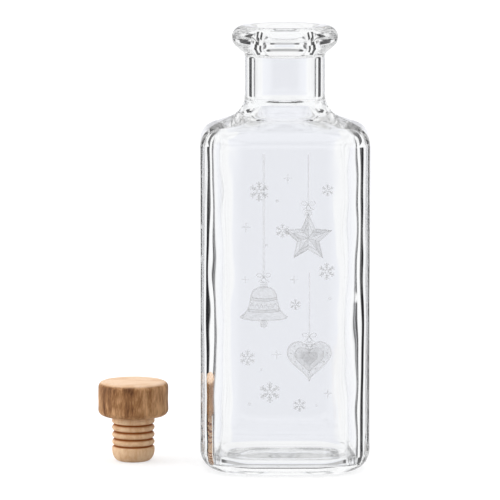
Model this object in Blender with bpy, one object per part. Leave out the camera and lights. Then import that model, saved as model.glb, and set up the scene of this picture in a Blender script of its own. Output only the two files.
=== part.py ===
"""Square apothecary bottle with a wooden-headed ribbed stopper standing beside it.

Metres, +Z up. The origin is on the bottle's axis, at the plane that it stands on. The decorated
face looks along -Y. The stopper stands on its own foot to the left of the bottle.
"""

import math
from typing import NamedTuple

import bmesh
import bpy
from mathutils import Vector

# Bottle, outside
BODY_WIDTH = 0.0720
BODY_DEPTH = 0.0720
CORNER_RADIUS = 0.0205
HEIGHT = 0.1874
HEEL_INSET = 0.0078
HEEL_HEIGHT = 0.0088
WALL_TOP = 0.1375
SHOULDER_RADIUS = 0.0089
SHOULDER_SLOPE = math.radians(22.7)
NECK_FILLET = 0.0103
NECK_RADIUS = 0.0171
SHOULDER_ROUND_SHARE = 0.81

# Bottle, underside
RECESS_DEPTH = 0.0010
BEARING_WIDTH = 0.0038
RECESS_SLOPE_WIDTH = 0.0011

# Rolled lip
LIP_RADIUS = 0.0225
LIP_EDGE_RADIUS = 0.00495
LIP_CONE = math.radians(38)
LIP_FILLET = 0.0024

# Mouth, bore and cavity
BORE_RADIUS = 0.0094
MOUTH_FLARE = 0.0070
MOUTH_DEPTH = 0.0124
WALL = 0.0059
CAVITY_CORNER_RADIUS = 0.0155
CAVITY_WALL_TOP = 0.1376
CAVITY_SHOULDER_RADIUS = 0.0061
CAVITY_SLOPE = math.radians(21.8)
CAVITY_FILLET = 0.0090
FLOOR_THICKNESS = 0.0020
FLOOR_DOME = 0.0020
FLOOR_DOME_SHARES = (0.2, 0.4, 0.6, 0.8)
FLOOR_FILLET_INSET = 0.0056
FLOOR_FILLET_HEIGHT = 0.0063

# Stopper
HEAD_RADIUS = 0.0150
HEAD_HEIGHT = 0.0139
HEAD_TOP_EDGE = 0.0015
HEAD_UNDER_EDGE = 0.0029
PLUG_CLEARANCE = 0.0003
PLUG_LENGTH = 0.0203
COLLAR_LENGTH = 0.0041
RING_COUNT = 3
RING_PITCH = 0.0032
GROOVE_DEPTH = 0.0010
GROOVE_SHARE = 0.2
RING_SHARES = (0.0, 0.08, 0.25, 0.5, 0.75, 0.92)
FOOT_RADIUS = 0.0063
FOOT_EDGE_HEIGHT = 0.0033
TENON_RADIUS = 0.0050
TENON_LENGTH = 0.0080
TENON_CHAMFER = 0.0006
SEAT_GAP = 0.0003

# Where the stopper stands
STOPPER_GAP = 0.0137
STOPPER_BACK = 0.0080

# Facets
RING_POINTS = 48
TURN_STEPS = 40
SMOOTH_ANGLE = math.radians(30)
CORNER_POINT_SHARE = 0.5
MERGE_DISTANCE = 0.00001

QUARTER = math.pi / 2


class Section(NamedTuple):
    """A level outline: a rounded rectangle, or a circle where the corner is as large as its halves."""

    height: float
    half_x: float
    half_y: float
    corner: float


def disc(radius, height):
    """A round section."""
    return Section(height, radius, radius, radius)


def ease(share):
    """Smooth step from 0 to 1, flat at both ends."""
    share = min(1.0, max(0.0, share))
    return share * share * (3 - 2 * share)


def arc(centre, radii, start, end, steps):
    """(across, up) points of an elliptic arc, both ends included. An angle of 0 points across."""
    points = []
    for step in range(steps + 1):
        angle = start + (end - start) * step / steps
        points.append((centre[0] + radii[0] * math.cos(angle), centre[1] + radii[1] * math.sin(angle)))
    return points


def quarter_outline(section, count):
    """Points from the +X side round to the +Y side. At least half of them lie on the corner's arc."""
    corner = min(section.corner, section.half_x, section.half_y)
    straight_x = section.half_x - corner
    straight_y = section.half_y - corner
    bend = corner * QUARTER
    straight = straight_x + straight_y
    bend_share = max(CORNER_POINT_SHARE, bend / (bend + straight))
    side_share = (1 - bend_share) * straight_y / straight if straight > 0 else 0.0
    points = []
    for index in range(count):
        share = index / count
        if share < side_share:
            points.append((section.half_x, straight_y * share / side_share))
        elif share < side_share + bend_share:
            angle = (share - side_share) / bend_share * QUARTER
            points.append((straight_x + corner * math.cos(angle), straight_y + corner * math.sin(angle)))
        else:
            left = (1 - share) / (1 - side_share - bend_share)
            points.append((straight_x * left, section.half_y))
    return points


def outline(section):
    """The whole outline, anticlockwise from the +X side, the same number of points for every section."""
    quarter = quarter_outline(section, RING_POINTS // 4)
    half = quarter + [(0.0, section.half_y)] + [(-x, y) for x, y in reversed(quarter[1:])]
    return half + [(-x, -y) for x, y in half]


def rounded_foot(half_x, half_y, corner, inset, height, bottom, steps):
    """Sections of an edge that turns from a level floor into an upright wall, from the floor up."""
    sections = []
    for drawn, rise in arc((inset, height), (inset, height), -QUARTER, -math.pi, steps):
        near_corner = corner - drawn * corner / half_x
        sections.append(Section(bottom + rise, half_x - drawn, half_y - drawn, near_corner))
    return sections


def domed_floor(edge):
    """Sections from near the axis out towards the floor's edge, over a dome that is highest at the axis."""
    sections = []
    for share in FLOOR_DOME_SHARES:
        height = edge.height + FLOOR_DOME * (1 - share * share)
        sections.append(Section(height, edge.half_x * share, edge.half_y * share, edge.corner * share))
    return sections


def shoulder_profile(run, wall_top, edge_radius, slope, fillet, steps):
    """(inset from the wall, height) from the wall's top over a rounded edge and a slope to the neck's foot."""
    round_edge = arc((edge_radius, wall_top), (edge_radius, edge_radius), math.pi, QUARTER + slope, steps)
    edge_inset, edge_height = round_edge[-1]
    hollow_inset = run - fillet * (1 - math.sin(slope))
    hollow_height = edge_height + (hollow_inset - edge_inset) * math.tan(slope)
    centre = (run - fillet, hollow_height + fillet * math.cos(slope))
    return round_edge + arc(centre, (fillet, fillet), slope - QUARTER, 0, steps)


def shoulder_sections(half_x, half_y, corner, neck_radius, profile):
    """Sections that draw a rounded rectangle in to a circle while they follow the shoulder's profile."""
    run = half_x - neck_radius
    sections = []
    for inset, height in profile:
        share = inset / run
        near_x = half_x - inset
        near_y = neck_radius + (half_y - neck_radius) * (1 - share)
        roundness = ease(share / SHOULDER_ROUND_SHARE)
        near_corner = corner + (min(near_x, near_y) - corner) * roundness
        sections.append(Section(height, near_x, near_y, near_corner))
    return sections


def lip_sections(steps):
    """The neck's top, the hollow under the lip, its cone, its round edge and the flat land."""
    turn = QUARTER - LIP_CONE
    edge_centre = (LIP_RADIUS - LIP_EDGE_RADIUS, HEIGHT - LIP_EDGE_RADIUS)
    edge = arc(edge_centre, (LIP_EDGE_RADIUS, LIP_EDGE_RADIUS), -turn, QUARTER, 2 * steps)
    cone_top_radius, cone_top_height = edge[0]
    cone_foot_radius = NECK_RADIUS + LIP_FILLET * (1 - math.cos(turn))
    cone_foot_height = cone_top_height - (cone_top_radius - cone_foot_radius) * math.tan(LIP_CONE)
    hollow_centre = (NECK_RADIUS + LIP_FILLET, cone_foot_height - LIP_FILLET * math.sin(turn))
    hollow = arc(hollow_centre, (LIP_FILLET, LIP_FILLET), math.pi, math.pi - turn, steps)
    return [disc(radius, height) for radius, height in hollow + edge]


def mouth_sections(steps):
    """The flare from the land down into the bore."""
    centre = (BORE_RADIUS + MOUTH_FLARE, HEIGHT - MOUTH_DEPTH)
    flare = arc(centre, (MOUTH_FLARE, MOUTH_DEPTH), QUARTER, math.pi, steps)
    return [disc(radius, height) for radius, height in flare]


def bottle_sections():
    """Every section of the glass skin: up the outside, over the lip and down the inside."""
    half_x, half_y = BODY_WIDTH / 2, BODY_DEPTH / 2
    heel = rounded_foot(half_x, half_y, CORNER_RADIUS, HEEL_INSET, HEEL_HEIGHT, 0, steps=5)
    recess_radius = min(heel[0].half_x, heel[0].half_y) - BEARING_WIDTH
    skin = [disc(recess_radius - RECESS_SLOPE_WIDTH, RECESS_DEPTH), disc(recess_radius, 0)]
    skin += heel
    profile = shoulder_profile(
        half_x - NECK_RADIUS, WALL_TOP, SHOULDER_RADIUS, SHOULDER_SLOPE, NECK_FILLET, steps=5
    )
    skin += shoulder_sections(half_x, half_y, CORNER_RADIUS, NECK_RADIUS, profile)
    skin += lip_sections(steps=4)
    skin += mouth_sections(steps=5)

    room_x, room_y = half_x - WALL, half_y - WALL
    profile = shoulder_profile(
        room_x - BORE_RADIUS, CAVITY_WALL_TOP, CAVITY_SHOULDER_RADIUS, CAVITY_SLOPE, CAVITY_FILLET, steps=4
    )
    skin += reversed(shoulder_sections(room_x, room_y, CAVITY_CORNER_RADIUS, BORE_RADIUS, profile))
    floor = RECESS_DEPTH + FLOOR_THICKNESS
    foot = rounded_foot(
        room_x, room_y, CAVITY_CORNER_RADIUS, FLOOR_FILLET_INSET, FLOOR_FILLET_HEIGHT, floor, steps=6
    )
    skin += reversed(domed_floor(foot[0]) + foot)
    return skin


def loft(name, sections):
    """A closed mesh skinned point by point through the sections, with a flat face over its first and last."""
    shape = bmesh.new()
    rings = [[shape.verts.new((x, y, each.height)) for x, y in outline(each)] for each in sections]
    for lower, upper in zip(rings, rings[1:]):
        for index in range(RING_POINTS):
            after = (index + 1) % RING_POINTS
            shape.faces.new((lower[index], lower[after], upper[after], upper[index]))
    shape.faces.new(rings[0])
    shape.faces.new(rings[-1])
    bmesh.ops.recalc_face_normals(shape, faces=shape.faces)
    mesh = bpy.data.meshes.new(name)
    shape.to_mesh(mesh)
    shape.free()
    mesh.shade_smooth()
    mesh.set_sharp_from_angle(angle=SMOOTH_ANGLE)
    return mesh


def turned(name, profile):
    """A solid of revolution: a profile at +X, from the axis over its outer side and back to the axis."""
    mesh = bpy.data.meshes.new(name)
    links = [(index, index + 1) for index in range(len(profile) - 1)]
    mesh.from_pydata([(radius, 0, height) for radius, height in profile], links, [])
    piece = bpy.data.objects.new(name, mesh)
    turn = piece.modifiers.new("turn", "SCREW")
    turn.axis = "Z"
    turn.steps = TURN_STEPS
    turn.render_steps = TURN_STEPS
    turn.use_merge_vertices = True
    turn.merge_threshold = MERGE_DISTANCE
    turn.use_smooth_shade = True
    return piece


def head_profile():
    """The grip: flat top, rounded edges and the blind socket under it."""
    under = PLUG_LENGTH
    top = under + HEAD_HEIGHT
    socket_radius = TENON_RADIUS + SEAT_GAP
    socket_roof = under + TENON_LENGTH + SEAT_GAP
    points = [(0, top)]
    centre = (HEAD_RADIUS - HEAD_TOP_EDGE, top - HEAD_TOP_EDGE)
    points += arc(centre, (HEAD_TOP_EDGE, HEAD_TOP_EDGE), QUARTER, 0, steps=4)
    centre = (HEAD_RADIUS - HEAD_UNDER_EDGE, under + HEAD_UNDER_EDGE)
    points += arc(centre, (HEAD_UNDER_EDGE, HEAD_UNDER_EDGE), 0, -QUARTER, steps=5)
    points += [(socket_radius, under), (socket_radius, socket_roof), (0, socket_roof)]
    return points


def plug_profile():
    """The tenon, the collar, the rings with their grooves, the bulb and the rounded foot."""
    radius = BORE_RADIUS - PLUG_CLEARANCE
    valley = radius - GROOVE_DEPTH
    shelf = PLUG_LENGTH - SEAT_GAP
    tenon_top = PLUG_LENGTH + TENON_LENGTH
    points = [
        (0, tenon_top),
        (TENON_RADIUS - TENON_CHAMFER, tenon_top),
        (TENON_RADIUS, tenon_top - TENON_CHAMFER),
        (TENON_RADIUS, shelf),
        (radius, shelf),
    ]
    half_groove = RING_PITCH * GROOVE_SHARE
    collar_foot = PLUG_LENGTH - COLLAR_LENGTH
    first_valley = collar_foot - half_groove
    points.append((radius, collar_foot))
    for ring in range(RING_COUNT):
        for share in RING_SHARES:
            swell = GROOVE_DEPTH * math.sqrt(math.sin(math.pi * share))
            points.append((valley + swell, first_valley - (ring + share) * RING_PITCH))
    last_valley = first_valley - RING_COUNT * RING_PITCH
    points += [(valley, last_valley), (radius, last_valley - half_groove)]
    foot_inset = radius - FOOT_RADIUS
    points += arc((FOOT_RADIUS, FOOT_EDGE_HEIGHT), (foot_inset, FOOT_EDGE_HEIGHT), 0, -QUARTER, steps=5)
    points.append((0, 0))
    return points


def finish(name, colour, roughness, transmission=0.0):
    """A plain finish: colour, roughness and how much light it lets through."""
    material = bpy.data.materials.new(name)
    material.use_nodes = True
    shader = material.node_tree.nodes["Principled BSDF"]
    shader.inputs["Base Color"].default_value = (*colour, 1.0)
    shader.inputs["Roughness"].default_value = roughness
    shader.inputs["Metallic"].default_value = 0.0
    shader.inputs["Transmission Weight"].default_value = transmission
    return material


def clear_glass():
    """Colourless flint glass."""
    return finish("clear_glass", (0.95, 0.96, 0.97), roughness=0.02, transmission=1.0)


def turned_wood():
    """Oiled mid-brown wood."""
    return finish("turned_wood", (0.48, 0.26, 0.13), roughness=0.55)


def plug_stuff():
    """Pale peach moulded stopper material."""
    return finish("plug_cream", (0.78, 0.55, 0.35), roughness=0.6)


def clear_scene():
    """Removes whatever objects the file holds."""
    for thing in list(bpy.data.objects):
        bpy.data.objects.remove(thing)


def place(piece, material, parent=None):
    """Links a piece, dresses it and hangs it on its parent."""
    piece.data.materials.append(material)
    bpy.context.scene.collection.objects.link(piece)
    piece.parent = parent
    return piece


def build_bottle():
    """The glass vessel, on the origin."""
    place(bpy.data.objects.new("bottle", loft("bottle", bottle_sections())), clear_glass())


def build_stopper():
    """The two pieces of the stopper, on a frame whose Z axis is the line that it lifts along."""
    axis = bpy.data.objects.new("stopper_axis", None)
    axis.location = Vector((-(BODY_WIDTH / 2 + STOPPER_GAP + HEAD_RADIUS), STOPPER_BACK, 0))
    bpy.context.scene.collection.objects.link(axis)
    place(turned("stopper_head", head_profile()), turned_wood(), axis)
    place(turned("stopper_plug", plug_profile()), plug_stuff(), axis)


def main():
    """Builds the whole object."""
    clear_scene()
    build_bottle()
    build_stopper()


main()
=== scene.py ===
"""Square apothecary bottle, finished: rippled clear glass, a frosted winter print and a wooden stopper.

Metres, +Z up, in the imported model's frame. The print faces -Y and the stopper stands on the -X side.
"""

import logging
import math
from dataclasses import dataclass, field
from enum import Enum

import bpy
import numpy as np
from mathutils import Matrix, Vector, geometry, noise


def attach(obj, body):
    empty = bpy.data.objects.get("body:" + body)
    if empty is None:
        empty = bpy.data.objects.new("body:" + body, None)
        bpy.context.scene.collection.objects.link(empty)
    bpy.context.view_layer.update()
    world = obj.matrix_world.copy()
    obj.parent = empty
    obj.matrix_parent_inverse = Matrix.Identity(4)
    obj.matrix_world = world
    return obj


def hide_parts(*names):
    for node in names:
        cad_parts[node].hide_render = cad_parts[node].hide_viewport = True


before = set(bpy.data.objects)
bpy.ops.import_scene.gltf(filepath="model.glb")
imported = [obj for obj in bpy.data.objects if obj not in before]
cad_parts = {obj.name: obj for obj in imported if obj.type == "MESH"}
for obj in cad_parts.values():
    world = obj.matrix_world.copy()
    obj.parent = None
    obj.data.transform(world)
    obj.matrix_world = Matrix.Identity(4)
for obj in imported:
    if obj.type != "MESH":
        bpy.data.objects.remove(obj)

MM = 0.001
QUARTER = math.pi / 2
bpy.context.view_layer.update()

log = logging.getLogger("apothecary_bottle")


def ease(share: float) -> float:
    """Smooth step from 0 to 1, flat at both ends.

    Args:
        share: how far along, clamped to 0 and 1.

    Returns:
        The eased share.
    """
    share = min(1.0, max(0.0, share))
    return share * share * (3 - 2 * share)


def arc(centre: tuple, radii: tuple, start: float, end: float, steps: int) -> list:
    """Points of an elliptic arc, both ends included.

    Args:
        centre: (across, up) of the arc's centre.
        radii: (across, up) radii.
        start: first angle, where 0 points across.
        end: last angle.
        steps: number of chords.

    Returns:
        A list of (across, up) points.
    """
    points = []
    for step in range(steps + 1):
        angle = start + (end - start) * step / steps
        points.append((centre[0] + radii[0] * math.cos(angle), centre[1] + radii[1] * math.sin(angle)))
    return points


def mesh_piece(name: str, points: list, faces: list, finish: bpy.types.Material) -> bpy.types.Object:
    """A smooth-shaded mesh object in the scene.

    Args:
        name: the piece's name.
        points: (x, y, z) rows.
        faces: tuples of point numbers.
        finish: the piece's material.

    Returns:
        The new object.
    """
    mesh = bpy.data.meshes.new(name)
    mesh.from_pydata(points, [], faces)
    mesh.shade_smooth()
    mesh.materials.append(finish)
    piece = bpy.data.objects.new(name, mesh)
    bpy.context.scene.collection.objects.link(piece)
    return piece


class Tree:
    """An emptied node tree of a material or world, with short ways to add and join nodes."""

    def __init__(self, owner: bpy.types.ID) -> None:
        """Clears the owner's nodes."""
        owner.use_nodes = True
        self.owner = owner
        self.nodes = owner.node_tree.nodes
        self.links = owner.node_tree.links
        self.nodes.clear()

    def add(self, kind: str, values: dict | None = None) -> bpy.types.Node:
        """Adds a shader node.

        Args:
            kind: the end of the node type's name.
            values: settings of its unlinked inputs, by socket name or number.

        Returns:
            The node.
        """
        node = self.nodes.new("ShaderNode" + kind)
        for socket, value in (values or {}).items():
            node.inputs[socket].default_value = value
        return node

    def join(self, source: bpy.types.NodeSocket, target: bpy.types.NodeSocket) -> None:
        """Links an output to an input."""
        self.links.new(source, target)

    def math(self, operation: str, *terms: object) -> bpy.types.NodeSocket:
        """A calculation with one to three terms.

        Args:
            operation: the name of the calculation.
            terms: numbers or sockets.

        Returns:
            The result's socket.
        """
        node = self.add("Math")
        node.operation = operation
        for index, term in enumerate(terms):
            if isinstance(term, bpy.types.NodeSocket):
                self.join(term, node.inputs[index])
            else:
                node.inputs[index].default_value = term
        return node.outputs[0]

    def total(self, *parts: tuple) -> bpy.types.NodeSocket:
        """Adds up shares of several values.

        Args:
            parts: (value, share) pairs.

        Returns:
            The sum's socket.
        """
        shares = [self.math("MULTIPLY", value, share) for value, share in parts]
        result = shares[0]
        for share in shares[1:]:
            result = self.math("ADD", result, share)
        return result

    def parts(self, kind: str) -> bpy.types.NodeOutputs:
        """Splits a place or a direction.

        Args:
            kind: which of the coordinates.

        Returns:
            The X, Y and Z sockets.
        """
        split = self.add("SeparateXYZ")
        self.join(self.add("TexCoord").outputs[kind], split.inputs[0])
        return split.outputs

    def sharp(self, rays: bpy.types.Node) -> bpy.types.NodeSocket:
        """1 for rays that come off gloss or through glass, and 0 for the rest."""
        return self.math("MAXIMUM", rays.outputs["Is Glossy Ray"], rays.outputs["Is Transmission Ray"])

    def either(self, share: bpy.types.NodeSocket, first: bpy.types.Node, second: bpy.types.Node) -> bpy.types.Node:
        """Mixes two shaders.

        Args:
            share: how much of the second.
            first: a shader.
            second: a shader.

        Returns:
            The mixing node.
        """
        node = self.add("MixShader")
        for index, socket in enumerate((share, first.outputs[0], second.outputs[0])):
            self.join(socket, node.inputs[index])
        return node

    def show(self, shader: bpy.types.Node, output: str = "OutputMaterial") -> bpy.types.ID:
        """Joins a shader to the output and returns the tree's owner."""
        self.join(shader.outputs[0], self.add(output).inputs["Surface"])
        return self.owner

    def span(self, value: bpy.types.NodeSocket, low: float, high: float) -> bpy.types.NodeSocket:
        """Brings a value smoothly to 0 at one end of a span and 1 at the other.

        Args:
            value: the value's socket.
            low: where the result is 0.
            high: where the result is 1.

        Returns:
            The result's socket.
        """
        node = self.add("MapRange", {"From Min": low, "From Max": high})
        node.interpolation_type = "SMOOTHSTEP"
        self.join(value, node.inputs["Value"])
        return node.outputs["Result"]

    def ramp(self, value: bpy.types.NodeSocket, stops: tuple, high: float = 1.0) -> bpy.types.NodeSocket:
        """Colours along a value from 0 to its highest.

        Args:
            value: the value's socket.
            stops: (value, (red, green, blue)) pairs in rising order.
            high: the highest value.

        Returns:
            The colour's socket.
        """
        node = self.add("ValToRGB")
        self.join(self.math("DIVIDE", value, high), node.inputs[0])
        colours = node.color_ramp.elements
        while len(colours) < len(stops):
            colours.new(1.0)
        for element, (place, colour) in zip(colours, stops):
            element.position = place / high
            element.color = (*colour, 1)
        return node.outputs[0]

    def blend(self, share: object, first: object, second: object) -> bpy.types.NodeSocket:
        """Mixes two colours.

        Args:
            share: how much of the second, a number or socket.
            first: a colour or socket.
            second: a colour or socket.

        Returns:
            The mixed colour's socket.
        """
        node = self.add("Mix")
        node.data_type = "RGBA"
        for index, term in ((0, share), (6, first), (7, second)):
            if isinstance(term, bpy.types.NodeSocket):
                self.join(term, node.inputs[index])
            else:
                node.inputs[index].default_value = term if index == 0 else (*term, 1)
        return node.outputs[2]

    def grain(self, stretch: tuple, detail: float, roughness: float = 0.55) -> bpy.types.NodeSocket:
        """Noise in the piece's own coordinates.

        Args:
            stretch: lengths of one swell along X, Y and Z.
            detail: number of finer octaves.
            roughness: strength of the finer octaves.

        Returns:
            The noise's socket, around 0.5.
        """
        place = self.add("TexCoord")
        scale = self.add("Mapping", {"Scale": tuple(1 / length for length in stretch)})
        swell = self.add("TexNoise", {"Scale": 1.0, "Detail": detail, "Roughness": roughness})
        self.join(place.outputs["Object"], scale.inputs["Vector"])
        self.join(scale.outputs[0], swell.inputs["Vector"])
        return swell.outputs[0]

    def finish(self, colour: bpy.types.NodeSocket, rough: bpy.types.NodeSocket, relief: bpy.types.NodeSocket,
               depth: float, settings: dict, cover: bpy.types.NodeSocket | None = None) -> bpy.types.Material:
        """Ends a material in one shader.

        Args:
            colour: the surface colour's socket.
            rough: the roughness socket.
            relief: the height socket of the fine relief.
            depth: height of the relief in metres.
            settings: values set on the shader's own inputs.
            cover: how much the surface hides, or none if it hides all.

        Returns:
            The finished material.
        """
        shader = self.add("BsdfPrincipled", settings)
        bump = self.add("Bump", {"Distance": depth, "Strength": 1.0})
        self.join(relief, bump.inputs["Height"])
        self.join(colour, shader.inputs["Base Color"])
        self.join(rough, shader.inputs["Roughness"])
        self.join(bump.outputs[0], shader.inputs["Normal"])
        if cover is not None:
            self.join(cover, shader.inputs["Alpha"])
        return self.show(shader)


@dataclass(frozen=True)
class ClearGlass:
    """Colourless flint glass that lets the lamps through to what stands behind it."""

    name: str = "clear_glass"
    ior: float = 1.5
    tint: tuple = (0.985, 0.99, 0.995)
    shadow_tint: tuple = (0.95, 0.955, 0.96)

    def material(self) -> bpy.types.Material:
        """Builds the material.

        Returns:
            Glass for what is seen, and a clear pane for the lamps' shadow rays.
        """
        tree = Tree(bpy.data.materials.new(self.name))
        glass = tree.add("BsdfPrincipled", {
            "Base Color": (*self.tint, 1), "Roughness": 0.0, "IOR": self.ior, "Transmission Weight": 1.0,
        })
        pane = tree.add("BsdfTransparent", {"Color": (*self.shadow_tint, 1)})
        rays = tree.add("LightPath")
        return tree.show(tree.either(rays.outputs["Is Shadow Ray"], glass, pane))


@dataclass(frozen=True)
class FrostedInk:
    """Fired-on frosting that lets some of the glass show through, a little uneven in cover."""

    name: str
    thin: float
    dense: float
    shade: tuple = (0.72, 0.73, 0.75)
    light: tuple = (0.84, 0.84, 0.85)
    mottle: float = 0.0014
    speck: float = 0.00028

    def material(self) -> bpy.types.Material:
        """Builds the material.

        Returns:
            A matt pale grey veil with soft mottling and fine specks.
        """
        tree = Tree(bpy.data.materials.new(self.name))
        cloud = tree.grain((self.mottle,) * 3, 3)
        speck = tree.grain((self.speck,) * 3, 2)
        mixed = tree.total((cloud, 0.6), (speck, 0.4))
        colour = tree.ramp(mixed, ((0.38, self.shade), (0.62, self.light)))
        rough = tree.math("ADD", tree.math("MULTIPLY", speck, 0.2), 0.65)
        cover = tree.math("MULTIPLY", tree.span(mixed, 0.36, 0.64), self.dense - self.thin)
        cover = tree.math("ADD", cover, self.thin)
        return tree.finish(colour, rough, speck, 0.00002, {"Specular IOR Level": 0.3}, cover)


@dataclass(frozen=True)
class TurnedWood:
    """Oiled mid-brown wood with its grain upright: streaked on the side, pored and ringed on the end, with the top
    painted lighter as painted top light and sheen.
    """

    name: str = "turned_wood"
    axis: tuple = (-0.0647, 0.008)
    pale: tuple = (0.68, 0.38, 0.185)
    middle: tuple = (0.35, 0.16, 0.060)
    dark: tuple = (0.12, 0.043, 0.014)
    # colours of the top: real end grain, made lighter than the side as painted top light and sheen
    end_grain_lit_top: tuple = (0.95, 0.71, 0.52)
    end_ring_lit_top: tuple = (0.78, 0.50, 0.30)
    streak: tuple = (0.0017, 0.0017, 0.0075)
    fibre: tuple = (0.00045, 0.00045, 0.0026)
    figure: tuple = (0.010, 0.008, 0.014)
    ring_spacing: float = 0.0019
    ring_shift: tuple = (0.021, -0.004)

    def material(self) -> bpy.types.Material:
        """Builds the material.

        Returns:
            Wood whose top shows its end grain by the way that the surface faces, in lighter colours that paint top
            light and sheen.
        """
        tree = Tree(bpy.data.materials.new(self.name))
        streak = tree.grain(self.streak, 4, 0.6)
        fibre = tree.grain(self.fibre, 3, 0.6)
        figure = tree.grain(self.figure, 2)
        tone = tree.total((streak, 0.36), (fibre, 0.22), (figure, 0.42))
        side = tree.ramp(tone, ((0.37, self.dark), (0.48, self.middle), (0.60, self.pale)))
        # upward faces take the lighter end-grain colours: real rings and pores with painted top light and sheen
        level = tree.span(tree.parts("Normal")["Z"], 0.55, 0.95)
        rings = tree.add("TexWave", {"Scale": 1 / self.ring_spacing, "Distortion": 1.2, "Detail": 2.0})
        rings.wave_type = "RINGS"
        rings.rings_direction = "Z"
        shift = (self.ring_shift[0] - self.axis[0], self.ring_shift[1] - self.axis[1], 0)
        shifted = tree.add("Mapping", {"Location": shift})
        tree.join(tree.add("TexCoord").outputs["Object"], shifted.inputs["Vector"])
        tree.join(shifted.outputs[0], rings.inputs["Vector"])
        pores = tree.span(fibre, 0.30, 0.42)
        end = tree.blend(tree.math("MULTIPLY", rings.outputs["Fac"], 0.6), self.end_grain_lit_top, self.end_ring_lit_top)
        end = tree.blend(tree.span(figure, 0.60, 0.34), end, self.end_ring_lit_top)
        end = tree.blend(tree.math("SUBTRACT", 1.0, pores), end, self.middle)
        colour = tree.blend(level, side, end)
        rough = tree.math("SUBTRACT", 0.68, tree.math("MULTIPLY", tone, 0.22))
        relief = tree.math("ADD", fibre, tree.math("MULTIPLY", streak, 0.6))
        return tree.finish(colour, rough, relief, 0.00009, {"Specular IOR Level": 0.25})


@dataclass(frozen=True)
class PlugStuff:
    """Peach moulded stopper material, with painted shade that deepens its colour down in its grooves."""

    name: str = "plug_cream"
    axis: tuple = (-0.0647, 0.008)
    light: tuple = (0.93, 0.65, 0.41)
    warm: tuple = (0.78, 0.47, 0.25)
    # dark deep-orange colour of the grooves: painted shade
    groove_shade: tuple = (0.36, 0.11, 0.018)
    groove_radius: float = 0.0082
    crest_radius: float = 0.0090
    foot_top: float = 0.0066
    foot_full: float = 0.0052
    mottle: float = 0.0022
    speck: float = 0.0003

    def material(self) -> bpy.types.Material:
        """Builds the material.

        Returns:
            A matt surface whose colour deepens towards the plug's axis.
        """
        tree = Tree(bpy.data.materials.new(self.name))
        cloud = tree.grain((self.mottle, self.mottle, self.mottle * 2), 3)
        speck = tree.grain((self.speck,) * 3, 2)
        mixed = tree.total((cloud, 0.75), (speck, 0.25))
        colour = tree.ramp(mixed, ((0.38, self.warm), (0.60, self.light)))
        # painted shade: the colour darkens where the surface lies close to the axis, except on the foot
        place = tree.parts("Object")
        across = tree.math("SUBTRACT", place["X"], self.axis[0])
        back = tree.math("SUBTRACT", place["Y"], self.axis[1])
        square = tree.math("ADD", tree.math("MULTIPLY", across, across), tree.math("MULTIPLY", back, back))
        unshaded = tree.span(tree.math("SQRT", square), self.groove_radius, self.crest_radius)
        unshaded = tree.math("MAXIMUM", unshaded, tree.span(place["Z"], self.foot_top, self.foot_full))
        colour = tree.blend(unshaded, self.groove_shade, colour)
        rough = tree.math("ADD", tree.math("MULTIPLY", speck, 0.15), 0.55)
        return tree.finish(colour, rough, mixed, 0.00005, {"Specular IOR Level": 0.3})


@dataclass(frozen=True)
class Ring:
    """A level outline of the glass: a rounded square, or a circle where the corner is as large as its half."""

    height: float
    half: float
    corner: float

    def points(self, count: int) -> np.ndarray:
        """The outline, anticlockwise from the +X side.

        Args:
            count: number of points, a multiple of four.

        Returns:
            An array of (x, y, z) rows.
        """
        corner = min(self.corner, self.half)
        straight = self.half - corner
        bend = corner * QUARTER
        bend_share = max(0.5, bend / (bend + 2 * straight))
        side_share = (1 - bend_share) / 2
        share = np.arange(count // 4) / (count // 4)
        angle = np.clip((share - side_share) / bend_share, 0, 1) * QUARTER
        run_in = np.clip(share / max(side_share, 1e-9), 0, 1)
        run_out = np.clip((1 - share) / max(side_share, 1e-9), 0, 1)
        x = straight * run_out + corner * np.cos(angle)
        y = straight * run_in + corner * np.sin(angle)
        quarter = np.stack([x, y], 1)
        turned = [quarter]
        for _ in range(3):
            last = turned[-1]
            turned.append(np.stack([-last[:, 1], last[:, 0]], 1))
        flat = np.concatenate(turned)
        return np.column_stack([flat, np.full(count, self.height)])


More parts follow.
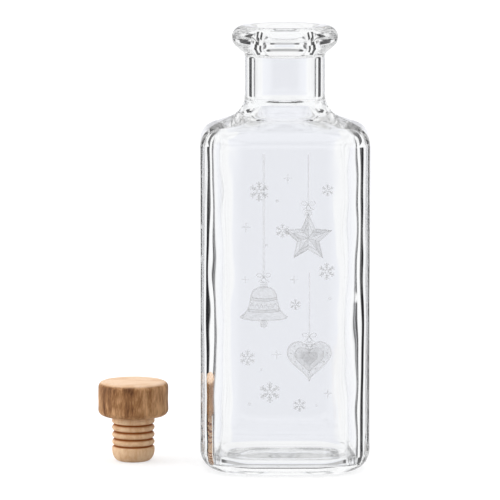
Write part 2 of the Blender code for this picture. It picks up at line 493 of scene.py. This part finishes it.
@dataclass
class GlassBottle:
    """The glass vessel: a square body, a round neck, a rolled lip and the rippled skin of its cavity."""

    half: float = 0.0360
    corner: float = 0.0205
    height: float = 0.1874
    heel_inset: float = 0.0084
    heel_height: float = 0.0096
    wall_top: float = 0.1375
    shoulder_radius: float = 0.0089
    shoulder_slope: float = math.radians(22.7)
    neck_fillet: float = 0.0103
    neck_radius: float = 0.0171
    round_share: float = 0.81
    recess_radius: float = 0.0244
    recess_depth: float = 0.0020
    recess_fullness: float = 2.25
    recess_slope_width: float = 0.0016
    lip_radius: float = 0.0225
    lip_edge_radius: float = 0.00495
    lip_cone: float = math.radians(40)
    lip_fillet: float = 0.0020
    bore_radius: float = 0.0094
    mouth_flare: float = 0.0062
    mouth_depth: float = 0.0070
    neck_bore: float = 0.0133
    neck_top: float = 0.1745
    seat_taper: float = 0.0030
    wall: float = 0.0058
    cavity_corner: float = 0.0155
    cavity_wall_top: float = 0.1376
    cavity_shoulder_radius: float = 0.0061
    cavity_slope: float = math.radians(21.8)
    cavity_fillet: float = 0.0075
    cavity_round_share: float = 0.91
    floor_height: float = 0.0025
    floor_dome: float = 0.0013
    floor_fillet_inset: float = 0.0101
    floor_fillet_height: float = 0.0031
    ripple: float = 0.0003
    ripple_lengths: tuple = (0.014, 0.014, 0.034)
    ring_points: int = 192
    finish: ClearGlass = field(default_factory=ClearGlass)

    def shoulder(self, run: float, top: float, radius: float, slope: float, fillet: float) -> list:
        """(inset, height) points from the wall's top over a rounded edge and a slope to the neck's foot.

        Args:
            run: level distance from the wall to the neck.
            top: height where the wall ends.
            radius: radius of the rounded edge.
            slope: angle of the slope above the level.
            fillet: radius of the hollow at the neck's foot.

        Returns:
            The profile's points, from the wall to the neck.
        """
        edge = arc((radius, top), (radius, radius), math.pi, QUARTER + slope, 16)
        inset, height = edge[-1]
        hollow_inset = run - fillet * (1 - math.sin(slope))
        hollow_height = height + (hollow_inset - inset) * math.tan(slope)
        centre = (run - fillet, hollow_height + fillet * math.cos(slope))
        hollow = arc(centre, (fillet, fillet), slope - QUARTER, 0, 16)
        ramp = []
        for step in range(1, 12):
            share = step / 12
            ramp.append((inset + (hollow_inset - inset) * share, height + (hollow_height - height) * share))
        return edge + ramp + hollow

    def drawn_to_neck(self, half: float, corner: float, neck: float, profile: list, round_share: float) -> list:
        """Rings that draw a rounded square in to a circle while they follow a profile.

        Args:
            half: half the square's width.
            corner: radius of the square's corners.
            neck: radius of the circle.
            profile: (inset, height) points.
            round_share: share of the way in at which the rings are round.

        Returns:
            A list of rings.
        """
        run = half - neck
        rings = []
        for inset, height in profile:
            near = half - inset
            roundness = ease(inset / run / round_share)
            rings.append(Ring(height, near, corner + (near - corner) * roundness))
        return rings

    def foot(self, half: float, corner: float, inset: float, height: float, bottom: float) -> list:
        """Rings of an edge that turns from a level floor into an upright wall.

        Args:
            half: half the wall's width.
            corner: radius of the wall's corners.
            inset: how far in the edge starts.
            height: how far up it ends.
            bottom: height of the floor.

        Returns:
            A list of rings, from the floor up.
        """
        rings = []
        for drawn, rise in arc((inset, height), (inset, height), -QUARTER, -math.pi, 20):
            rings.append(Ring(bottom + rise, half - drawn, corner - drawn * corner / half))
        return rings

    def upright(self, low: Ring, high: Ring, steps: int) -> list:
        """Rings between two others, both left out.

        Args:
            low: the ring to start from.
            high: the ring to end at.
            steps: number of gaps.

        Returns:
            A list of rings.
        """
        rings = []
        for step in range(1, steps):
            share = step / steps
            rings.append(Ring(
                low.height + (high.height - low.height) * share,
                low.half + (high.half - low.half) * share,
                low.corner + (high.corner - low.corner) * share,
            ))
        return rings

    def dished(self, edge: Ring, rise: float, fullness: float, steps: int) -> list:
        """Rings of a low dome from its middle out to its edge, which is left out.

        Args:
            edge: the ring that the dome springs from.
            rise: how far the middle stands above the edge.
            fullness: 2 for a round dome, more for a flatter middle and steeper sides.
            steps: number of rings and the edge.

        Returns:
            A list of rings.
        """
        rings = []
        for step in range(1, steps):
            share = step / steps
            height = edge.height + rise * (1 - share ** fullness)
            rings.append(Ring(height, edge.half * share, edge.corner * share))
        return rings

    def lip(self) -> list:
        """Draws the lip.

        Returns:
            Rings of the hollow under the lip, its cone, its round edge and the flare down to the bore.
        """
        turn = QUARTER - self.lip_cone
        centre = (self.lip_radius - self.lip_edge_radius, self.height - self.lip_edge_radius)
        edge = arc(centre, (self.lip_edge_radius, self.lip_edge_radius), -turn, QUARTER, 28)
        foot_radius = self.neck_radius + self.lip_fillet * (1 - math.cos(turn))
        foot_height = edge[0][1] - (edge[0][0] - foot_radius) * math.tan(self.lip_cone)
        hollow_centre = (self.neck_radius + self.lip_fillet, foot_height - self.lip_fillet * math.sin(turn))
        hollow = arc(hollow_centre, (self.lip_fillet, self.lip_fillet), math.pi, math.pi - turn, 10)
        flare_centre = (self.bore_radius + self.mouth_flare, self.height - self.mouth_depth)
        flare = arc(flare_centre, (self.mouth_flare, self.mouth_depth), QUARTER, math.pi, 24)
        return [Ring(height, radius, radius) for radius, height in hollow + edge + flare]

    def outer(self) -> list:
        """Draws the outside.

        Returns:
            Rings from the middle of the base up over the lip to the bore.
        """
        heel = self.foot(self.half, self.corner, self.heel_inset, self.heel_height, 0)
        rim = Ring(0, self.recess_radius, self.recess_radius)
        bearing_radius = self.recess_radius + self.recess_slope_width
        bearing = Ring(0, bearing_radius, bearing_radius)
        rings = self.dished(rim, self.recess_depth, self.recess_fullness, 26) + [rim, bearing]
        rings += self.upright(bearing, heel[0], 4) + heel
        profile = self.shoulder(
            self.half - self.neck_radius, self.wall_top, self.shoulder_radius, self.shoulder_slope, self.neck_fillet
        )
        shoulder = self.drawn_to_neck(self.half, self.corner, self.neck_radius, profile, self.round_share)
        lip = self.lip()
        rings += self.upright(heel[-1], shoulder[0], 60) + shoulder
        rings += self.upright(shoulder[-1], lip[0], 10) + lip
        return rings

    def inner(self) -> list:
        """Draws the inside, with a narrow seat in the lip and a wider neck below it.

        Returns:
            Rings from the bore down to the middle of the cavity's floor.
        """
        half = self.half - self.wall
        profile = self.shoulder(
            half - self.neck_bore, self.cavity_wall_top, self.cavity_shoulder_radius, self.cavity_slope,
            self.cavity_fillet,
        )
        shoulder = self.drawn_to_neck(half, self.cavity_corner, self.neck_bore, profile, self.cavity_round_share)
        foot = self.foot(
            half, self.cavity_corner, self.floor_fillet_inset, self.floor_fillet_height, self.floor_height
        )
        bore_top = Ring(self.height - self.mouth_depth, self.bore_radius, self.bore_radius)
        seat_foot = Ring(self.neck_top + self.seat_taper, self.bore_radius, self.bore_radius)
        neck_top = Ring(self.neck_top, self.neck_bore, self.neck_bore)
        rings = list(reversed(self.upright(seat_foot, bore_top, 6)))
        for step in range(17):
            share = step / 16
            radius = self.bore_radius + (self.neck_bore - self.bore_radius) * ease(share)
            rings.append(Ring(seat_foot.height - self.seat_taper * share, radius, radius))
        rings += reversed(self.upright(shoulder[-1], neck_top, 14))
        rings += reversed(shoulder)
        rings += reversed(self.upright(foot[-1], shoulder[0], 90))
        rings += reversed(foot)
        rings += reversed(self.dished(foot[0], self.floor_dome, 2, 14))
        return rings

    def ripples(self, x: float, y: float, z: float) -> float:
        """How far the cavity's skin swells at a point, as glass sets in its corners.

        Args:
            x: place of the point.
            y: place of the point.
            z: place of the point.

        Returns:
            Distance along the surface's normal.
        """
        long_x, long_y, long_z = self.ripple_lengths
        side = ease((min(abs(x), abs(y)) / (self.half - self.wall) - 0.35) / 0.4)
        swell = noise.noise(Vector((x / long_x, y / long_y, z / long_z)))
        swell += 0.5 * noise.noise(Vector((2 * x / long_x + 5, 2 * y / long_y, 2.4 * z / long_z)))
        return swell * side * self.ripple

    def build(self) -> bpy.types.Object:
        """Builds and dresses the vessel.

        Returns:
            The glass object, riding on the bottle's body.
        """
        count = self.ring_points
        outside = np.concatenate([ring.points(count) for ring in self.outer()])
        inside = np.concatenate([ring.points(count) for ring in self.inner()])
        points = np.concatenate([outside, inside])
        levels = len(points) // count
        quads = []
        for level in range(levels - 1):
            for index in range(count):
                after = (index + 1) % count
                base = level * count
                quads.append((base + index, base + after, base + count + after, base + count + index))
        quads.append(tuple(reversed(range(count))))
        quads.append(tuple(range((levels - 1) * count, levels * count)))
        glass = mesh_piece("glass_bottle", points.tolist(), quads, self.finish.material())
        normals = np.array([tuple(vertex.normal) for vertex in glass.data.vertices])
        swells = [0.0] * len(outside) + [self.ripples(x, y, z) for x, y, z in inside]
        moved = points + normals * np.array(swells)[:, None]
        glass.data.vertices.foreach_set("co", moved.ravel())
        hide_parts("bottle")
        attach(glass, "bottle")
        return glass


class Motif(Enum):
    """The kinds of small scattered motif."""

    CRYSTAL = 1
    SPARKLE = 2
    DOT = 3


@dataclass
class FrostedPrint:
    """A winter design in raised frosting: a star, a bell and a heart on threads among crystals and sparkles.

    The design is drawn in millimetres, (across, up) from the middle of the front at the ground.
    """

    half: float = 0.0360
    corner: float = 0.0205
    clear: float = 0.00001
    thickness: float = 0.00003
    layer: float = 0.000003
    layers: int = 8
    line: float = 0.55
    thread: float = 0.42
    bow: float = 0.4
    fine: float = 0.34
    band: float = 0.3
    fold: float = 0.24
    chord: float = 0.8
    scattered: tuple = (
        (Motif.CRYSTAL, -11.0, 121.0, 4.2), (Motif.CRYSTAL, 17.5, 121.5, 2.6), (Motif.SPARKLE, 1.0, 126.5, 2.2),
        (Motif.DOT, -3.5, 117.0, 0.7), (Motif.CRYSTAL, -1.2, 104.5, 3.0), (Motif.SPARKLE, -16.5, 106.0, 2.4),
        (Motif.DOT, -8.0, 98.5, 0.6), (Motif.CRYSTAL, 17.2, 87.5, 3.6), (Motif.SPARKLE, 3.6, 84.0, 2.0),
        (Motif.DOT, 18.5, 76.0, 0.7), (Motif.CRYSTAL, 4.2, 73.5, 2.4), (Motif.CRYSTAL, -15.8, 51.0, 3.4),
        (Motif.SPARKLE, -3.6, 52.5, 2.4), (Motif.DOT, -10.0, 46.0, 0.6), (Motif.CRYSTAL, -6.5, 36.5, 4.4),
        (Motif.SPARKLE, 17.8, 36.0, 2.4), (Motif.CRYSTAL, 6.0, 31.0, 2.8), (Motif.DOT, -15.0, 31.5, 0.7),
        (Motif.DOT, 13.0, 31.0, 0.5), (Motif.SPARKLE, -16.8, 84.0, 1.8),
    )
    line_ink: FrostedInk = FrostedInk("frosted_lines", 0.24, 0.40)
    wash_ink: FrostedInk = FrostedInk("frosted_wash", 0.13, 0.24)
    points: list = field(default_factory=list)
    faces: list = field(default_factory=list)
    inks: list = field(default_factory=list)
    slabs: int = 0

    def on_glass(self, across: float, up: float, lift: float) -> tuple:
        """A point of the design on the front, bent round the corners.

        Args:
            across: distance from the middle along the glass, in millimetres.
            up: height in millimetres.
            lift: distance out from the glass in metres.

        Returns:
            (x, y, z) in metres.
        """
        straight = self.half - self.corner
        run = abs(across) * MM
        if run <= straight:
            return across * MM, -self.half - lift, up * MM
        turn = (run - straight) / self.corner
        radius = self.corner + lift
        x = math.copysign(straight + radius * math.sin(turn), across)
        return x, -straight - radius * math.cos(turn), up * MM

    def slab(self, outline: list, tops: list, ink: int) -> None:
        """Adds a thin slab of frosting, a hair above or below the ones drawn before it.

        Args:
            outline: (across, up) points, anticlockwise.
            tops: tuples of point numbers that cover the outline.
            ink: number of its finish.
        """
        start = len(self.points)
        count = len(outline)
        low = self.clear + self.layer * (self.slabs % self.layers)
        self.slabs += 1
        for lift in (low + self.thickness, low):
            self.points += [self.on_glass(across, up, lift) for across, up in outline]
        faces = [tuple(start + index for index in face) for face in tops]
        faces += [tuple(start + count + index for index in reversed(face)) for face in tops]
        for index in range(count):
            after = (index + 1) % count
            faces.append((start + index, start + count + index, start + count + after, start + after))
        self.faces += faces
        self.inks += [ink] * len(faces)

    def stroke(self, path: list, width: float) -> None:
        """Adds a line of even width.

        Args:
            path: (across, up) points.
            width: the line's width.
        """
        fine = [Vector(path[0])]
        for point in path[1:]:
            last, point = fine[-1], Vector(point)
            steps = max(1, math.ceil((point - last).length / self.chord))
            fine += [last.lerp(point, step / steps) for step in range(1, steps + 1)]
        closed = (fine[0] - fine[-1]).length < 0.01
        left, right = [], []
        for index, point in enumerate(fine):
            before = fine[index - 1] if index else fine[-2] if closed else point
            after = fine[index + 1] if index + 1 < len(fine) else fine[1] if closed else point
            along = (after - before).normalized()
            out = Vector((-along.y, along.x)) * width / 2
            left.append(tuple(point + out))
            right.append(tuple(point - out))
        count = len(fine)
        tops = [(i, 2 * count - 1 - i, 2 * count - 2 - i, i + 1) for i in range(count - 1)]
        self.slab(left + right[::-1], tops, 0)

    def patch(self, outline: list, ink: int = 1) -> None:
        """Adds a filled shape."""
        tops = geometry.tessellate_polygon([[Vector((*point, 0)) for point in outline]])
        self.slab(outline, [tuple(face) for face in tops], ink)

    def crystal(self, across: float, up: float, radius: float) -> None:
        """Draws six arms from a ring, with two pairs of twigs each.

        Args:
            across: place of the middle.
            up: height of the middle.
            radius: length of an arm.
        """
        self.stroke(arc((across, up), (radius * 0.2, radius * 0.2), 0, math.tau, 12), radius * 0.12)
        for arm in range(6):
            angle = math.radians(60 * arm + 30)
            root = (across + radius * 0.2 * math.cos(angle), up + radius * 0.2 * math.sin(angle))
            tip = (across + radius * math.cos(angle), up + radius * math.sin(angle))
            self.stroke([root, tip], radius * 0.19)
            for side in (-1, 1):
                twig = angle + side * math.radians(52)
                for share, length in ((0.42, 0.26), (0.66, 0.34)):
                    fork = (across + radius * share * math.cos(angle), up + radius * share * math.sin(angle))
                    end = (fork[0] + radius * length * math.cos(twig), fork[1] + radius * length * math.sin(twig))
                    self.stroke([fork, end], radius * 0.16)

    def sparkle(self, across: float, up: float, radius: float) -> None:
        """Draws a four-pointed star with hollow sides.

        Args:
            across: place of the middle.
            up: height of the middle.
            radius: length of a point.
        """
        outline = []
        for step in range(16):
            angle = math.tau * step / 16
            reach = radius * (1.0, 0.42, 0.24, 0.42)[step % 4]
            outline.append((across + reach * math.cos(angle), up + reach * math.sin(angle)))
        self.patch(outline)

    def dot(self, across: float, up: float, radius: float) -> None:
        """A round dot."""
        self.patch(arc((across, up), (radius, radius), 0, math.tau * 15 / 16, 15))

    def hung(self, across: float, top: float, up: float, tape: float = 0.0) -> None:
        """Draws a thread or a tape with a bow, a ring and a ribbed cap at its lower end.

        Args:
            across: place of the thread.
            top: height of its upper end.
            up: height of the cap's foot.
            tape: the tape's width, or 0 for a thread.
        """
        if tape:
            self.patch([(across - tape / 2, up + 4.0), (across + tape / 2, up + 4.0), (across + tape / 2, top),
                        (across - tape / 2, top)])
        else:
            self.stroke([(across, top), (across, up + 4.0)], self.thread)
        self.stroke(arc((across, up + 3.1), (0.9, 0.9), QUARTER, QUARTER + math.tau, 20), self.fine)
        cap = [(across - 1.7, up), (across + 1.7, up), (across + 1.4, up + 2.2), (across - 1.4, up + 2.2)]
        self.patch(cap)
        for height, reach in ((0.15, 1.7), (1.1, 1.55), (2.1, 1.4)):
            self.stroke([(across - reach, up + height), (across + reach, up + height)], self.band)
        for side in (-1, 1):
            loop = [(across + side * x, up + 4.6 + y) for x, y in (
                (0.0, 0.0), (1.2, 1.1), (2.5, 1.3), (3.0, 0.5), (2.4, -0.3), (1.2, -0.3), (0.0, 0.0))]
            self.stroke(loop, self.bow)
            tail = [(across, up + 4.6), (across + side * 1.0, up + 3.0), (across + side * 2.3, up + 2.3)]
            self.stroke(tail, self.bow)

    def star(self, across: float, up: float, radius: float) -> None:
        """Draws a five-pointed star with a folded look, with a smaller star's line in it.

        Args:
            across: place of the middle.
            up: height of the middle.
            radius: length of a point.
        """
        edge, inner = [], []
        for corners, reach in ((edge, radius), (inner, radius * 0.66)):
            for step in range(10):
                angle = QUARTER + math.tau * step / 10
                length = reach if step % 2 == 0 else reach * 0.46
                corners.append((across + length * math.cos(angle), up + length * math.sin(angle)))
        self.patch(edge)
        for step in range(0, 10, 2):
            self.patch([(across, up), edge[step], edge[step + 1]])
        self.stroke(edge + edge[:1], self.line)
        self.stroke(inner + inner[:1], self.fine)
        for corner in edge:
            self.stroke([(across, up), corner], self.fold)

    def bell(self, across: float, up: float, size: float) -> None:
        """Draws a bell with two bands, a zigzag between them and a round clapper.

        Args:
            across: place of the middle.
            up: height of the lower band.
            size: height from there to the crown.
        """
        half = [(0.0, 1.0), (0.22, 0.98), (0.38, 0.88), (0.46, 0.70), (0.50, 0.45), (0.56, 0.20), (0.70, 0.02),
                (0.86, -0.10)]
        right = [(across + size * x, up + size * y) for x, y in half]
        left = [(2 * across - x, y) for x, y in reversed(right)]
        rim = arc((across, up - size * 0.10), (size * 0.86, size * 0.14), 0, -math.pi, 20)
        outline = left + right[1:] + rim[1:]
        self.patch(outline[-2::-1])
        self.stroke(outline, self.line)
        for height, reach in ((0.56, 0.47), (0.14, 0.60)):
            low = arc((across, up + size * height), (size * reach, size * 0.09), -math.pi, 0, 14)
            high = [(x, y + size * 0.10) for x, y in reversed(low)]
            self.patch(low + high)
            self.stroke(low, self.band)
            self.stroke(high, self.band)
        zigzag = []
        for step in range(13):
            share = step / 12 * 2 - 1
            dip = size * 0.09 * math.sqrt(max(0.0, 1 - share * share))
            zigzag.append((across + share * size * 0.50, up + size * (0.30 + 0.16 * (step % 2)) - dip))
        self.stroke(zigzag, 0.36)
        self.patch(arc((across, up - size * 0.36), (size * 0.15, size * 0.15), 0, math.tau * 23 / 24, 23), 0)

    def heart(self, across: float, up: float, size: float) -> None:
        """Draws a heart with an inner line, a row of dots between the two and a filled core.

        Args:
            across: place of the middle.
            up: height of the middle.
            size: half the heart's width.
        """
        def curve(scale: float) -> list:
            """Draws the heart's outline.

            Args:
                scale: share of its size.

            Returns:
                The outline's points.
            """
            points = []
            for step in range(48):
                turn = math.tau * step / 48
                x = 16 * math.sin(turn) ** 3
                y = 13 * math.cos(turn) - 5 * math.cos(2 * turn) - 2 * math.cos(3 * turn) - math.cos(4 * turn)
                points.append((across + x * size * scale / 16, up + y * size * scale / 16))
            return points
        edge = curve(1.0)
        inner = curve(0.66)
        self.patch(edge[::-1])
        self.patch(inner[::-1])
        self.patch(curve(0.40)[::-1])
        self.stroke(edge + edge[:1], self.line)
        self.stroke(inner + inner[:1], self.fine)
        for x, y in curve(0.83)[::3]:
            self.patch(arc((x, y), (0.42, 0.42), 0, math.tau * 7 / 8, 7), 0)

    def build(self) -> bpy.types.Object:
        """Draws the design and dresses it.

        Returns:
            The print, riding on the bottle's body.
        """
        self.hung(9.5, 136.5, 111.0)
        self.star(9.5, 101.5, 10.2)
        self.hung(-9.0, 136.5, 80.8, 1.1)
        self.bell(-9.0, 69.5, 11.4)
        self.hung(10.0, 87.0, 55.6)
        self.heart(10.0, 51.0, 9.2)
        draw = {Motif.CRYSTAL: self.crystal, Motif.SPARKLE: self.sparkle, Motif.DOT: self.dot}
        for kind, across, up, radius in self.scattered:
            draw[kind](across, up, radius)
        design = mesh_piece("frosted_print", self.points, self.faces, self.line_ink.material())
        design.data.materials.append(self.wash_ink.material())
        design.data.polygons.foreach_set("material_index", self.inks)
        design.data.shade_flat()
        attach(design, "bottle")
        return design


@dataclass
class Turning:
    """A piece of the stopper, turned round the stopper's axis and given a fine relief."""

    name: str
    node: str
    slot: str
    finish: object
    relief: float
    swell: tuple
    axis: tuple = (-0.0647, 0.008)
    around: int = 256
    middle: float = 0.0002
    calm_radius: float = 0.004
    crease: float = math.radians(50)

    def profile(self) -> list:
        """(radius, height) points from the axis to the axis, the upper side first."""
        raise NotImplementedError

    def build(self) -> bpy.types.Object:
        """Turns and dresses the piece.

        Returns:
            The object, riding on the stopper's body.
        """
        points, faces = [], []
        profile = self.profile()
        for radius, height in profile:
            for step in range(self.around):
                angle = math.tau * step / self.around
                x = radius * math.cos(angle)
                y = radius * math.sin(angle)
                spot = Vector((x / self.swell[0], y / self.swell[1], height / self.swell[2]))
                lift = self.relief * noise.noise(spot) * ease(radius / self.calm_radius)
                points.append((
                    self.axis[0] + x + lift * math.cos(angle), self.axis[1] + y + lift * math.sin(angle), height,
                ))
        for level in range(len(profile) - 1):
            for step in range(self.around):
                after = (step + 1) % self.around
                base = level * self.around
                faces.append((base + after, base + step, base + self.around + step, base + self.around + after))
        faces.append(tuple(range(self.around)))
        faces.append(tuple(reversed(range(len(points) - self.around, len(points)))))
        piece = mesh_piece(self.name, points, faces, self.finish.material())
        piece.data.set_sharp_from_angle(angle=self.crease)
        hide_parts(self.node)
        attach(piece, "stopper")
        return piece


@dataclass
class StopperHead(Turning):
    """The round wooden grip with softly turned edges and its blind socket."""

    name: str = "wooden_head"
    node: str = "stopper_head"
    slot: str = "turned_wood"
    finish: object = field(default_factory=TurnedWood)
    relief: float = 0.00022
    swell: tuple = (0.0042, 0.0042, 0.0070)
    radius: float = 0.0150
    under: float = 0.0195
    height: float = 0.0147
    top_edge: float = 0.0024
    under_edge: float = 0.0029
    socket_radius: float = 0.0053
    socket_roof: float = 0.0286

    def profile(self) -> list:
        """Draws the head.

        Returns:
            (radius, height) points of the top, the side, the underside and the socket.
        """
        top = self.under + self.height
        points = [(self.middle + (self.radius - self.top_edge) * step / 20, top) for step in range(20)]
        centre = (self.radius - self.top_edge, top - self.top_edge)
        points += arc(centre, (self.top_edge, self.top_edge), QUARTER, 0, 10)
        side_top, side_foot = top - self.top_edge, self.under + self.under_edge
        points += [(self.radius, side_top + (side_foot - side_top) * step / 24) for step in range(1, 24)]
        centre = (self.radius - self.under_edge, self.under + self.under_edge)
        points += arc(centre, (self.under_edge, self.under_edge), 0, -QUARTER, 12)
        points += [(self.socket_radius, self.under), (self.socket_radius, self.socket_roof)]
        points.append((self.middle, self.socket_roof))
        return points


@dataclass
class StopperPlug(Turning):
    """The ribbed plug: a tenon, a collar, three soft rings, a bulb and a flat foot."""

    name: str = "ribbed_plug"
    node: str = "stopper_plug"
    slot: str = "plug_cream"
    finish: object = field(default_factory=PlugStuff)
    relief: float = 0.00003
    swell: tuple = (0.003, 0.003, 0.003)
    radius: float = 0.0091
    length: float = 0.0195
    collar: float = 0.0029
    rings: int = 3
    pitch: float = 0.0031
    groove_depth: float = 0.0012
    groove_share: float = 0.2
    foot_radius: float = 0.0059
    foot_height: float = 0.0048
    tenon_radius: float = 0.0050
    tenon_length: float = 0.0088
    tenon_edge: float = 0.0006
    edge: float = 0.0002
    seat_gap: float = 0.0003

    def profile(self) -> list:
        """Draws the plug.

        Returns:
            (radius, height) points from the tenon's top down the outside to the foot.
        """
        shelf = self.length - self.seat_gap
        valley = self.radius - self.groove_depth
        tenon_top = self.length + self.tenon_length
        points = [(self.middle, tenon_top), (self.tenon_radius - self.tenon_edge, tenon_top)]
        points += [(self.tenon_radius, tenon_top - self.tenon_edge), (self.tenon_radius, shelf)]
        points += [(self.radius - self.edge, shelf), (self.radius, shelf - self.edge)]
        half_groove = self.pitch * self.groove_share
        collar_foot = self.length - self.collar
        first_valley = collar_foot - half_groove
        points += [(self.radius, collar_foot + 0.0003), (self.radius - 0.00015, collar_foot)]
        for ring in range(self.rings):
            for step in range(20):
                share = step / 20
                bulge = self.groove_depth * math.sin(math.pi * share) ** 0.8
                points.append((valley + bulge, first_valley - (ring + share) * self.pitch))
        last_valley = first_valley - self.rings * self.pitch
        points += [(valley, last_valley), (self.radius - self.edge, last_valley - half_groove + 0.00008)]
        points.append((self.radius, last_valley - half_groove - self.edge))
        inset = self.radius - self.foot_radius
        points += arc((self.foot_radius, self.foot_height), (inset, self.foot_height), 0, -QUARTER, 18)
        points.append((self.middle, 0))
        return points


@dataclass(frozen=True)
class Belt:
    """A level belt of the room: tones by bearing, where 0 is straight behind the object."""

    low: float
    high: float
    soft: float
    tones: tuple


WHITE = (1.0, 1.0, 1.0)
PALE = (0.905, 0.913, 0.955)
SOFT = (0.7, 0.7, 0.7)
GREY = (0.5, 0.5, 0.5)
DIM = (0.4, 0.4, 0.4)
BLACK = (0.02, 0.02, 0.022)


@dataclass
class Studio:
    """Camera, floor and the light around the object."""

    shift_x: float = -0.01475
    distance: float = 1.950
    eye_height: float = 0.345
    aim_height: float = 0.0918
    scale: float = 2.357
    frame_pixels: int = 500
    sensor: float = 36.0
    ground: float = -0.00005
    floor_reach: float = 4.0
    floor_colour: tuple = (0.50, 0.50, 0.504)
    floor_lift: float = 0.56
    bounces: int = 32
    belts: tuple = (
        Belt(-80, -66, 1.0, ((0, BLACK), (180, BLACK))),
        Belt(-11.5, 20, 0.4, (
            (0, PALE), (9, PALE), (11, WHITE), (28, WHITE), (30, BLACK), (46, BLACK), (49, WHITE), (60, WHITE),
            (62, BLACK), (70, BLACK), (74, WHITE), (120, WHITE), (140, DIM), (180, DIM),
        )),
        Belt(7, 22, 1.0, (
            (0, GREY), (10, GREY), (12, BLACK), (17, BLACK), (20, WHITE), (32, WHITE), (35, BLACK), (55, BLACK),
            (60, WHITE), (180, WHITE),
        )),
        Belt(28, 42, 2.0, ((0, SOFT), (40, WHITE), (55, WHITE), (64, BLACK), (180, BLACK))),
        Belt(48, 58, 2.0, ((0, BLACK), (60, GREY), (90, WHITE), (180, WHITE))),
    )
    dome: tuple = (
        Belt(-90, 30, 5, (
            (0, (0.9, 0.9, 0.9)), (50, (1.2, 1.2, 1.2)), (70, (2.9, 2.9, 2.9)), (115, (2.9, 2.9, 2.9)),
            (142, (0.45, 0.45, 0.45)), (180, (0.25, 0.25, 0.25)),
        )),
        Belt(30, 90, 8, ((0, (1.2, 1.2, 1.2)), (180, (0.9, 0.9, 0.9)))),
        Belt(62, 90, 6, ((0, (1.7, 1.7, 1.7)), (180, (1.7, 1.7, 1.7)))),
    )

    def camera(self) -> None:
        """The photograph's view, a little above the object and far off."""
        data = bpy.data.cameras.new("camera")
        eye = bpy.data.objects.new("camera", data)
        bpy.context.scene.collection.objects.link(eye)
        eye.location = (self.shift_x, -self.distance, self.eye_height)
        look = Vector((0, self.distance, self.aim_height - self.eye_height))
        eye.rotation_euler = look.to_track_quat("-Z", "Y").to_euler()
        data.sensor_width = self.sensor
        data.lens = self.sensor * look.length / (self.frame_pixels / self.scale * MM)
        data.clip_end = 100
        bpy.context.scene.camera = eye

    def layered(self, tree: Tree, bearing: bpy.types.NodeSocket, elevation: bpy.types.NodeSocket,
                belts: tuple) -> bpy.types.NodeSocket:
        """Lays belts over plain white.

        Args:
            tree: the world's tree.
            bearing: bearing from straight behind, in degrees.
            elevation: elevation in degrees.
            belts: the belts.

        Returns:
            The colour's socket.
        """
        colour = WHITE
        for belt in belts:
            mask = tree.math("MULTIPLY", tree.span(elevation, belt.low - belt.soft, belt.low + belt.soft),
                             tree.span(elevation, belt.high + belt.soft, belt.high - belt.soft))
            colour = tree.blend(mask, colour, tree.ramp(bearing, belt.tones, 180))
        return colour

    def surround(self) -> None:
        """The room for the glass and for gloss, a soft plain dome for all else, and plain white for the camera."""
        world = bpy.data.worlds.new("surround")
        bpy.context.scene.world = world
        tree = Tree(world)
        way = tree.parts("Generated")
        bearing = tree.math("ABSOLUTE", tree.math("ARCTAN2", way["X"], way["Y"]))
        bearing = tree.math("MULTIPLY", bearing, 180 / math.pi)
        elevation = tree.math("MULTIPLY", tree.math("ARCSINE", way["Z"]), 180 / math.pi)
        room = self.layered(tree, bearing, elevation, self.belts)
        dome = self.layered(tree, bearing, elevation, self.dome)
        rays = tree.add("LightPath")
        colour = tree.blend(tree.sharp(rays), dome, room)
        colour = tree.blend(rays.outputs["Is Camera Ray"], colour, WHITE)
        light = tree.add("Background")
        tree.join(colour, light.inputs["Color"])
        tree.show(light, "OutputWorld")

    def floor(self) -> None:
        """A white floor that keeps the soft contact shadows, and that glass and gloss see through to the room."""
        reach = self.floor_reach
        tree = Tree(bpy.data.materials.new("white_floor"))
        cloud = tree.grain((0.4, 0.4, 0.4), 2)
        colour = tree.ramp(cloud, ((0.3, self.floor_colour), (0.7, tuple(0.99 * part for part in self.floor_colour))))
        matt = tree.add("BsdfDiffuse")
        lift = tree.add("Emission", {"Color": (1, 1, 1, 1)})
        both = tree.add("AddShader")
        clear = tree.add("BsdfTransparent")
        rays = tree.add("LightPath")
        seen = tree.math("MULTIPLY", rays.outputs["Is Camera Ray"], self.floor_lift)
        tree.join(colour, matt.inputs["Color"])
        tree.join(seen, lift.inputs["Strength"])
        tree.join(matt.outputs[0], both.inputs[0])
        tree.join(lift.outputs[0], both.inputs[1])
        finish = tree.show(tree.either(tree.sharp(rays), both, clear))
        corners = [(x * reach, y * reach, self.ground) for x, y in ((-1, -1), (1, -1), (1, 1), (-1, 1))]
        mesh_piece("floor", corners, [(0, 1, 2, 3)], finish)

    def build(self) -> None:
        """Sets up the whole studio."""
        self.camera()
        self.surround()
        self.floor()
        scene = bpy.context.scene
        scene.view_settings.view_transform = "Standard"
        scene.cycles.max_bounces = self.bounces
        scene.cycles.transmission_bounces = self.bounces
        scene.cycles.glossy_bounces = self.bounces


def main() -> None:
    """Builds the pieces and the studio."""
    logging.basicConfig(level=logging.INFO, format="%(name)s: %(message)s")
    for maker in (GlassBottle(), FrostedPrint(), StopperHead(), StopperPlug()):
        piece = maker.build()
        log.info("%s: %d points", piece.name, len(piece.data.vertices))
    Studio().build()


if __name__ == "__main__":
    main()
